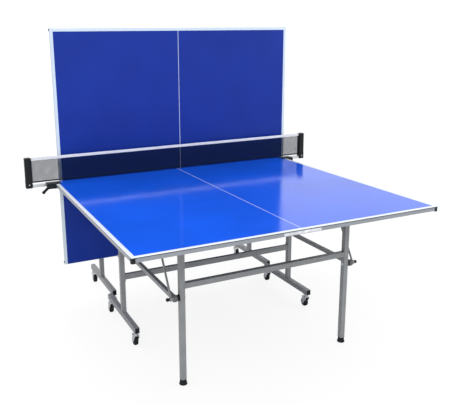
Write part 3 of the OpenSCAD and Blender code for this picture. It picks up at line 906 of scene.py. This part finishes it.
@dataclass
class LevellingFoot(HalfPart):
    """A levelling foot: a ribbed pad with a rubber sole under a collar, on a threaded stud."""

    side: Side
    ribs: int = 20
    rib_t: float = 1.8 * MM
    stud_r: float = 5 * MM
    thread: float = 0.6 * MM
    half_pitch: float = 0.75 * MM
    collar_top: float = 25 * MM

    def build(self) -> None:
        """Builds the foot where its node is."""
        node = f"foot_{self.side.value}"
        low, high = self.box(node)
        centre = (low + high) / 2
        radius = (high.x - low.x) / 2
        place = Matrix.Translation((centre.x, centre.y, low.z))
        mesh = bmesh.new()
        sole = ((0.9, 0.0), (1.0, 1.2), (1.0, 4.0), (0.96, 4.6))
        body = ((0.95, 4.4), (0.97, 6.0), (0.94, 9.0), (0.8, 12.0), (0.76, 16.0), (0.76, 24.0),
                (0.7, 25.6), (0.3, 25.7))
        for shape, index in ((sole, 1), (body, 0)):
            lathe(mesh, [(out * radius, up * MM) for out, up in shape], place, 40, index)
        for turn in turned(place, self.ribs):
            block(mesh, (radius * 0.74, -self.rib_t / 2, 13 * MM),
                  (radius * 0.82, self.rib_t / 2, 23.5 * MM), turn)
        ridges = int((high.z - low.z - self.collar_top) / self.half_pitch)
        stud = [(self.stud_r - self.thread * (k % 2), self.collar_top + k * self.half_pitch)
                for k in range(ridges)]
        lathe(mesh, stud, place, 20, 2)
        self.piece(f"{node}_pad", mesh, (Finish.BLACK, Finish.RUBBER, Finish.ZINC), node,
                   "black_rubber", node)


@dataclass
class CasterWheel(HalfPart):
    """A caster's wheel: a rubber tyre with a tread line, a ribbed hub and a bearing cap."""

    corner: Corner
    ribs: int = 6
    rib_t: float = 2.2 * MM

    def build(self) -> None:
        """Builds the wheel where its node is."""
        node = f"wheel_{self.corner.value}"
        low, high = self.box(node)
        radius = (high.z - low.z) / 2
        width = (high.x - low.x) / 2
        place = along((1, 0, 0), (low + high) / 2)
        mesh = bmesh.new()
        tyre = ((0.66, 0.86), (0.72, 1.0), (0.86, 1.0), (0.93, 0.9), (0.975, 0.66), (0.995, 0.3),
                (1.0, 0.1), (0.985, 0.05))
        hub = ((0.13, 0.98), (0.24, 0.98), (0.27, 0.8), (0.3, 0.62), (0.6, 0.62), (0.64, 0.84),
               (0.67, 0.84))
        for index, (shape, steps) in enumerate(((tyre, 48), (hub, 40))):
            profile = ([(r * radius, -w * width) for r, w in shape]
                       + [(r * radius, w * width) for r, w in shape[::-1]])
            lathe(mesh, profile, place, steps, index)
        for turn in turned(place, self.ribs):
            for side in (-1, 1):
                ends = sorted((side * 0.55 * width, side * 0.82 * width))
                block(mesh, (0.26 * radius, -self.rib_t / 2, ends[0]),
                      (0.63 * radius, self.rib_t / 2, ends[1]), turn, 1)
        self.piece(f"{node}_tyre", mesh, (Finish.RUBBER, Finish.HUB), f"roller_{self.corner.value}",
                   "black_rubber", node)


@dataclass
class LockKnob(HalfPart):
    """A ball knob on a knurled collar, at the end of its plunger."""

    side: Side
    plunger_r: float = 3 * MM
    collar_at: float = 18.3 * MM
    collar_r: float = 5.9 * MM
    knurls: int = 14

    def build(self) -> None:
        """Builds the knob where its node is."""
        node = f"lock_knob_{self.side.value}"
        low, high = self.box(node)
        sign = self.side.sign
        radius = (high.z - low.z) / 2
        start = Vector(((low.x if sign > 0 else high.x), (low.y + high.y) / 2, (low.z + high.z) / 2))
        place = along((sign, 0, 0), start)
        total = high.x - low.x
        middle = total - radius
        mesh = bmesh.new()
        lathe(mesh, [(self.plunger_r, 0.5 * MM), (self.plunger_r, self.collar_at)], place, 20, 1)
        collar, foot, head = self.collar_at, self.collar_at + 0.6 * MM, self.collar_at + 1.8 * MM
        ball = [(self.collar_r - 0.5 * MM, collar), (self.collar_r, foot), (self.collar_r, head),
                (self.collar_r - 0.7 * MM, collar + 2.3 * MM)]
        for k in range(4, 20):
            angle = math.pi * (1 - k / 20)
            ball.append((radius * math.sin(angle), middle + radius * math.cos(angle)))
        ball.append((radius * 0.08, total - 0.05 * MM))
        lathe(mesh, ball, place, 32, 0)
        for turn in turned(place, self.knurls):
            block(mesh, (self.collar_r - 0.3 * MM, -0.6 * MM, foot),
                  (self.collar_r + 0.3 * MM, 0.6 * MM, head), turn)
        self.piece(f"{node}_ball", mesh, (Finish.BLACK, Finish.ZINC), node, "black_plastic", node)


# ---------- the net ----------


@dataclass
class Net:
    """The cloth of the net on the lowered half: its netting, its white tape and its dark hems."""

    shop: Workshop
    body: str = "near_board"
    cell: float = 6.0 * MM
    thread: float = 2.6 * MM
    upright_half: float = 0.5 * MM
    level_half: float = 0.42 * MM
    sway: float = 2.6 * MM
    steps: int = 90
    tape_wall: float = 0.7 * MM
    tape_sag: float = 1.2 * MM
    stitches: int = 330
    stitch_up: float = 3.2 * MM
    hem_w: float = 9 * MM
    hem_up: float = 4 * MM
    hem_half: float = 1.0 * MM
    sleeve_w: float = 4 * MM

    def __post_init__(self) -> None:
        """Takes the net's places from the frame."""
        self.low, self.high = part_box("net_mesh")
        self.tape_low, self.tape_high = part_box("net_top_tape")
        self.y = (self.low.y + self.high.y) / 2
        self.flat = (self.high.x - self.low.x, self.high.z - self.low.z)
        self.cloth_area = 2 * self.thread / self.cell * self.flat[0] * self.flat[1]

    def build(self) -> None:
        """Builds the cloth's pieces."""
        netting = self.netting()
        tape = self.tape()
        hems = self.hems()

    def ripple(self, x: float, z: float) -> float:
        """Returns how far the cloth stands off its plane at a place along and up the net."""
        up = (z - self.low.z) / (self.high.z - self.low.z)
        ends = math.cos(math.pi * x / self.flat[0]) ** 0.6 if abs(x) < self.flat[0] / 2 else 0.0
        slow = math.sin(5.3 * x + 0.7) * 0.6 + math.sin(13.1 * x + 2.1 * up) * 0.4
        return self.sway * slow * ends * (1.0 - 0.55 * up)

    def point(self, x: float, z: float) -> Vector:
        """Returns the cloth's point at a place along and up the net."""
        return Vector((x, self.y + self.ripple(x, z), z))

    def ribbon(self, mesh: bmesh.types.BMesh, path: Sequence[Vector], across: Vector, half: float,
               thick: float) -> None:
        """Sweeps a flattened thread along a path.

        Args:
            mesh: The mesh that is built.
            path: The thread's points.
            across: The direction of the thread's width.
            half: Half its width.
            thick: Half its thickness.
        """
        off = Vector((0, 1, 0))
        section = ((-1, 0), (-0.5, 1), (0.5, 1), (1, 0), (0.5, -1), (-0.5, -1))
        loft(mesh, [[p + across * (a * half) + off * (b * thick) for a, b in section] for p in path])

    def upright(self, mesh: bmesh.types.BMesh, x: float, half: float, thick: float, steps: int) -> None:
        """Adds one upright thread from the cloth's foot to its top."""
        path = [self.point(x, z) for z in spaced(self.low.z, self.high.z, steps + 1)]
        self.ribbon(mesh, path, Vector((1, 0, 0)), half, thick)

    def level(self, mesh: bmesh.types.BMesh, z: float, half: float, thick: float) -> None:
        """Adds one level thread from end to end of the cloth."""
        path = [self.point(x, z) for x in spaced(self.low.x, self.high.x, self.steps + 1)]
        self.ribbon(mesh, path, Vector((0, 0, 1)), half, thick)

    def netting(self) -> bpy.types.Object:
        """Returns the netting, made of crossed threads with open cells."""
        mesh = bmesh.new()
        half = self.thread / 2
        for x in spaced(self.low.x + half, self.high.x - half, round(self.flat[0] / self.cell) + 1):
            self.upright(mesh, x, half, self.upright_half, 8)
        for z in spaced(self.low.z + half, self.high.z - half, round(self.flat[1] / self.cell) + 1):
            self.level(mesh, z, half, self.level_half)
        return self.shop.piece("netting", mesh, (Finish.CORD,), self.body, "net_cord", ("net_mesh",))

    def tape(self) -> bpy.types.Object:
        """Returns the white tape, folded over the net's top, with its two rows of stitches."""
        low, high = self.tape_low, self.tape_high
        half = (high.y - low.y) / 2 + 0.3 * MM
        length, rise = high.x - low.x, high.z - low.z
        back = half - self.tape_wall
        outer = [(-half, 0.0), (-half * 1.04, 0.45), (-half, 0.86), (-half * 0.7, 0.96), (0.0, 1.0),
                 (half * 0.7, 0.96), (half, 0.86), (half * 1.04, 0.45), (half, 0.0)]
        inner = [(back, 0.0), (back, 0.82), (0.0, 0.9), (-back, 0.82), (-back, 0.0)]
        rings = []
        for x in spaced(low.x, high.x, self.steps + 1):
            sag = self.tape_sag * math.cos(math.pi * x / length) + 0.25 * MM * math.sin(31 * x)
            y = self.y + self.ripple(x, low.z)
            rings.append([(x, y + a, low.z + b * rise - sag * (0.3 + 0.7 * b)) for a, b in outer + inner])
        mesh = bmesh.new()
        loft(mesh, rings)
        stitch = Vector((1.7, 0.25, 0.3)) * MM
        for k in range(self.stitches):
            x = low.x + length * (k + 0.5) / self.stitches
            y = self.y + self.ripple(x, low.z)
            for side in (-half, half):
                spot = Matrix.Translation((x, y + side, low.z + self.stitch_up))
                block(mesh, tuple(-stitch), tuple(stitch), spot, 1)
        return self.shop.piece("tape", mesh, (Finish.TAPE, Finish.LINE), self.body, "white_tape",
                               ("net_top_tape",))

    def hems(self) -> bpy.types.Object:
        """Returns the dark hem along the net's foot and the sleeves at its ends."""
        mesh = bmesh.new()
        self.level(mesh, self.low.z + self.hem_up, self.hem_w / 2, self.hem_half)
        for side in (-1, 1):
            x = side * (self.flat[0] - self.sleeve_w) / 2
            self.upright(mesh, x, self.sleeve_w / 2, self.hem_half, 10)
        return self.shop.piece("hems", mesh, (Finish.CORD,), self.body, "net_cord")


@dataclass
class NetPosts:
    """The two moulded posts at the net's ends, each with a waist, ribs behind, a groove and a cap."""

    shop: Workshop
    corner: float = 7 * MM
    ribs: int = 5
    rib_w: float = 18 * MM
    rib_h: float = 4 * MM
    screw_r: float = 4 * MM

    def build(self) -> None:
        """Builds both posts where their node is."""
        low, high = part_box("net_posts")
        width, depth, rise = high.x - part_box("net_mesh")[1].x, high.y - low.y, high.z - low.z
        sections = ((0.0, 0.86, 0.86), (0.015, 0.97, 0.97), (0.04, 1.0, 1.0), (0.24, 1.0, 1.0),
                    (0.28, 0.96, 0.97), (0.94, 0.93, 0.95), (0.95, 0.97, 0.98), (0.975, 0.97, 0.98),
                    (0.99, 0.9, 0.92), (1.0, 0.7, 0.76))
        mesh = bmesh.new()
        for sign in (-1, 1):
            centre = Vector((sign * (high.x - width / 2), (low.y + high.y) / 2, low.z))
            rings = []
            for up, wide, deep in sections:
                outline = rounded(width * wide, depth * deep, self.corner * min(wide, deep))
                rings.append([centre + Vector((x, y, up * rise)) for x, y in outline])
            loft(mesh, rings)
            for k in range(self.ribs):
                spot = centre + Vector((sign * width * 0.43, 0, (0.3 + 0.12 * k) * rise))
                block(mesh, (-1.5 * MM, -self.rib_w / 2, -self.rib_h / 2),
                      (1.3 * MM, self.rib_w / 2, self.rib_h / 2), Matrix.Translation(spot))
            front = centre + Vector((0, -depth * 0.5, 0.12 * rise))
            screw(mesh, along((0, -1, 0), front), self.screw_r, 1)
        self.shop.piece("posts", mesh, (Finish.BLACK, Finish.ZINC), "near_board", "black_plastic",
                        ("net_posts",), 0.5 * MM)


@dataclass
class ClampLever:
    """One of the net's clamp levers: a cam, a cranked arm and a ribbed grip."""

    shop: Workshop
    side: Side
    length: float = 46 * MM
    tip: float = 8 * MM
    width: float = 12.8 * MM
    cam_r: float = 7.5 * MM
    pin_r: float = 3 * MM
    pin_l: float = 28.8 * MM
    ribs: int = 5
    rib_gap: float = 4 * MM

    def build(self) -> None:
        """Builds the lever where its node is."""
        node = f"net_lever_{self.side.value}"
        sign = self.side.sign
        pivot = self.shop.pivot(f"{node}_turn")
        low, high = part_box(node)
        reach = abs((high.x if sign > 0 else low.x) - pivot.x)
        angle = math.atan2(pivot.z - low.z - self.tip, reach - self.tip)
        place = (Matrix.Translation(pivot) @ Matrix.Diagonal((sign, 1, 1, 1))
                 @ Matrix.Rotation(angle, 4, "Y"))
        half = self.width / 2
        outline = half_oval(0.0, self.cam_r, self.cam_r, math.pi / 2, 12)
        outline += [(14 * MM, -6.4 * MM), (30 * MM, -6.1 * MM)]
        outline += half_oval(self.length, self.tip - 0.2 * MM, self.tip - 0.3 * MM, -math.pi / 2, 8)
        outline += [(30 * MM, 6.1 * MM), (14 * MM, 6.4 * MM)]
        mesh = bmesh.new()
        loft(mesh, [[place @ Vector((x, y, z)) for x, z in outline] for y in (-half, half)])
        for k in range(self.ribs):
            x = 26 * MM + self.rib_gap * k
            for z in (-6.8 * MM, 5.9 * MM):
                block(mesh, (x, -half * 0.8, z), (x + 1.4 * MM, half * 0.8, z + 0.9 * MM), place)
        pin = [(self.pin_r, -self.pin_l / 2), (self.pin_r, self.pin_l / 2)]
        lathe(mesh, pin, Matrix.Translation(pivot) @ Matrix.Rotation(-math.pi / 2, 4, "X"), 20, 1)
        self.shop.piece(f"{node}_grip", mesh, (Finish.BLACK, Finish.ZINC), node, "black_plastic", (node,),
                        0.6 * MM)


@dataclass
class Clamps:
    """The net's two clamps: a plated arm, two black jaws and a black block slotted for the lever."""

    shop: Workshop
    jaw_t: float = 3 * MM
    jaw_l: float = 27.5 * MM
    block_past: float = 12 * MM
    block_off: float = 1.5 * MM
    block_l: float = 30 * MM
    block_top: float = 2 * MM
    slot_back: float = 9 * MM
    slot_w: float = 15 * MM
    arm_w: float = 20 * MM
    arm_h: float = 16 * MM
    rib_half: float = 5 * MM
    rib_deep: float = 0.8 * MM

    def build(self) -> None:
        """Builds both clamps where their node is."""
        low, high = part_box("net_clamps")
        jaw_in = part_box("near_board_sheet")[1].x - self.jaw_l
        top = high.z - self.jaw_t
        foot = low.z + self.jaw_t
        mesh = bmesh.new()
        for side in Side:
            place = Matrix.Diagonal((side.sign, 1, 1, 1))
            pivot = self.shop.pivot(f"net_lever_{side.value}_turn")
            x0 = jaw_in + self.jaw_l + self.block_off
            x1 = abs(pivot.x) + self.block_past
            y1 = pivot.y + self.block_l / 2
            slot_x = abs(pivot.x) - self.slot_back
            slot = (pivot.y - self.slot_w / 2, pivot.y + self.slot_w / 2)
            block(mesh, (jaw_in, low.y, top), (x1, high.y, high.z), place)
            block(mesh, (jaw_in, low.y, low.z), (x0, y1, foot), place)
            block(mesh, (x0, low.y, low.z), (slot_x, y1, top), place)
            for start, stop in ((low.y, slot[0]), (slot[1], y1)):
                block(mesh, (slot_x, start, low.z), (x1, stop, top), place)
            block(mesh, (slot_x, slot[0], top - self.block_top), (x1, slot[1], top), place)
            self.arm(mesh, place, x0, high.x, high.y - self.arm_w / 2, top)
        self.shop.piece("clamps", mesh, (Finish.BLACK, Finish.ZINC), "near_board", "dark_steel",
                        ("net_clamps",), 0.6 * MM)

    def arm(self, mesh: bmesh.types.BMesh, place: Matrix, start: float, stop: float, y: float,
            top: float) -> None:
        """Builds one plated arm with a pressed rib and its screws.

        Args:
            mesh: The mesh that is built.
            place: The matrix that puts it on its side of the table.
            start: Where it starts along X.
            stop: Where it stops along X.
            y: Its middle along Y.
            top: The height of its upper face.
        """
        half, rib, deep = self.arm_w / 2, self.rib_half, self.rib_deep
        section = [(-half, 0), (-rib, 0), (-rib + 1 * MM, -deep), (rib - 1 * MM, -deep), (rib, 0),
                   (half, 0), (half, -self.arm_h), (-half, -self.arm_h)]
        loft(mesh, [[place @ Vector((x, y + a, top + b)) for a, b in section] for x in (start, stop)], 1)
        for x in (stop - 12 * MM, stop - 34 * MM):
            screw(mesh, place @ Matrix.Translation((x, y, top - deep)), 3 * MM, 1)
        for z in (top - 0.3 * self.arm_h, top - 0.7 * self.arm_h):
            screw(mesh, place @ along((0, -1, 0), (stop - 8 * MM, y - half, z)), 2 * MM, 1)


@dataclass
class Badge:
    """A blank plate on the lowered half's end rail."""

    shop: Workshop
    length: float = 190 * MM
    height: float = 13 * MM
    corner: float = 3 * MM
    proud: float = 0.4 * MM

    def build(self) -> None:
        """Builds the plate with rounded ends, just proud of the rail."""
        low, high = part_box("near_edge_rails")
        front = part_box("near_board_sheet")[0].y - self.proud
        middle = (low.z + high.z) / 2
        rings = []
        for out, shrink in ((0.0, 0.0), (0.6 * MM, 0.0), (0.9 * MM, 0.5 * MM)):
            y = max(low.y - out, front)
            outline = rounded(self.length - 2 * shrink, self.height - 2 * shrink, self.corner, 4)
            rings.append([(x, y, middle + z) for x, z in outline])
        mesh = bmesh.new()
        loft(mesh, rings)
        self.shop.piece("end_plate", mesh, (Finish.BADGE,), "near_board", "silver_rail")


# ---------- what stays from the frame ----------


@dataclass
class CarriedParts:
    """The frame's own nodes that stay: each gets its finish and softly bevelled edges."""

    frame: dict
    edge: float = 0.5 * MM

    def dress(self) -> None:
        """Gives every node its slot's finish, and a bevel to those that show."""
        slots = {part["node"]: part["material_slot"] for part in self.frame["record"]["subparts"]}
        for name, thing in self.frame["nodes"].items():
            finish = SLOT_FINISH[slots[name]].material()
            if not thing.material_slots:
                thing.data.materials.append(finish)
            for holder in thing.material_slots:
                holder.material = finish
            if not thing.hide_render:
                bevel_edges(thing, self.edge, 50)
        LOG.info("dressed %d carried nodes", len(self.frame["nodes"]))


# ---------- studio ----------


@dataclass(frozen=True)
class StudioCamera:
    """A camera given by its place and by how it is turned."""

    place: Point = (-1.4097, -2.8197, 1.5516)
    heading: float = math.radians(24.696)
    dip: float = math.radians(13.382)
    tilt: float = math.radians(-0.729)
    lens: float = 47.774
    shift: tuple[float, float] = (0.0635, -0.0514)

    def build(self) -> None:
        """Makes the camera and hands it to the scene."""
        ahead = Vector((math.sin(self.heading) * math.cos(self.dip),
                        math.cos(self.heading) * math.cos(self.dip), -math.sin(self.dip)))
        level = Vector((math.cos(self.heading), -math.sin(self.heading), 0.0))
        rise = level.cross(ahead)
        right = level * math.cos(self.tilt) + rise * math.sin(self.tilt)
        up = rise * math.cos(self.tilt) - level * math.sin(self.tilt)
        data = bpy.data.cameras.new("studio_camera")
        data.lens = self.lens
        data.sensor_width = 36.0
        data.shift_x, data.shift_y = self.shift
        camera = bpy.data.objects.new("studio_camera", data)
        turn = Matrix((right, up, -ahead)).transposed().to_4x4()
        camera.matrix_world = Matrix.Translation(self.place) @ turn
        bpy.context.scene.collection.objects.link(camera)
        bpy.context.scene.camera = camera


@dataclass(frozen=True)
class SoftLight:
    """One large soft light that looks at a point."""

    name: str
    place: Point
    target: Point
    size: float
    power: float

    def build(self) -> None:
        """Makes the light."""
        data = bpy.data.lights.new(self.name, "AREA")
        data.shape = "DISK"
        data.size = self.size
        data.energy = self.power
        light = bpy.data.objects.new(self.name, data)
        look = (Vector(self.target) - Vector(self.place)).to_track_quat("-Z", "Y")
        light.matrix_world = Matrix.Translation(self.place) @ look.to_matrix().to_4x4()
        bpy.context.scene.collection.objects.link(light)


@dataclass
class Studio:
    """A white floor and surround, and three soft lights."""

    surround: float = 1.08
    reach: float = 14.0
    steps: int = 40

    def build(self) -> None:
        """Builds the floor, the surround and the lights."""
        self.floor()
        world = bpy.data.worlds.new("surround")
        bpy.context.scene.world = world
        world.use_nodes = True
        world.node_tree.nodes["Background"].inputs["Color"].default_value = WHITE
        world.node_tree.nodes["Background"].inputs["Strength"].default_value = self.surround
        bpy.context.scene.view_settings.view_transform = "Standard"
        for light in (SoftLight("key", (-2.6, -3.4, 3.6), (0, 0, 0.6), 2.4, 60.0),
                      SoftLight("fill", (3.4, -2.0, 2.6), (0, 0, 0.7), 2.6, 25.0),
                      SoftLight("back", (-1.0, 3.6, 3.4), (0, 0, 0.8), 2.4, 30.0)):
            light.build()

    def floor(self) -> None:
        """Builds the round floor."""
        mesh = bmesh.new()
        rings = [[mesh.verts.new((x, y, 0)) for x, y in circle(radius, self.steps)]
                 for radius in (self.reach, self.reach / 3, self.reach / 10)]
        for first, second in zip(rings, rings[1:]):
            ring_faces(mesh, first, second)
        mesh.faces.new(rings[-1])
        bmesh.ops.recalc_face_normals(mesh, faces=mesh.faces)
        data = bpy.data.meshes.new("studio_floor")
        mesh.to_mesh(data)
        mesh.free()
        floor = bpy.data.objects.new("studio_floor", data)
        data.materials.append(Finish.FLOOR.material())
        bpy.context.scene.collection.objects.link(floor)


def halves(shop: Workshop) -> list[Half]:
    """Returns the lowered half and the raised half, with their boards' places."""
    near = shop.pivot("near_board_fold")
    far = shop.pivot("far_board_fold")
    lowered = Matrix.Translation((0, near.y, near.z)) @ Matrix.Diagonal((1, -1, 1, 1))
    raised = Matrix.Translation(far) @ Matrix.Rotation(math.pi / 2, 4, "X")
    return [Half("near", lowered), Half("far", raised)]


def main() -> None:
    """Loads the frame and builds the table around it, half by half, then the net and the studio."""
    logging.basicConfig(level=logging.INFO, format="%(name)s: %(message)s")
    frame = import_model()
    StudioCamera().build()
    shop = Workshop(frame)
    # The raised half takes the darker copies of the blue and the lines: painted shade.
    surfaces = ((Finish.BLUE, Finish.LINE), (Finish.BLUE_RAISED, Finish.LINE_RAISED))
    for half, (blue, white) in zip(halves(shop), surfaces):
        PlayingBoard(shop, half, blue, white).build()
        Welds(shop, half).build()
        PivotNuts(shop, half).build()
        HubParts(shop, half).build()
        for side in Side:
            LevellingFoot(shop, half, side).build()
            LockKnob(shop, half, side).build()
        for corner in Corner:
            CasterWheel(shop, half, corner).build()
    Net(shop).build()
    NetPosts(shop).build()
    for side in Side:
        ClampLever(shop, side).build()
    Clamps(shop).build()
    Badge(shop).build()
    CarriedParts(frame).dress()
    Studio().build()
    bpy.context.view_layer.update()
    LOG.info("made %d pieces", shop.made)


if __name__ == "__main__":
    main()
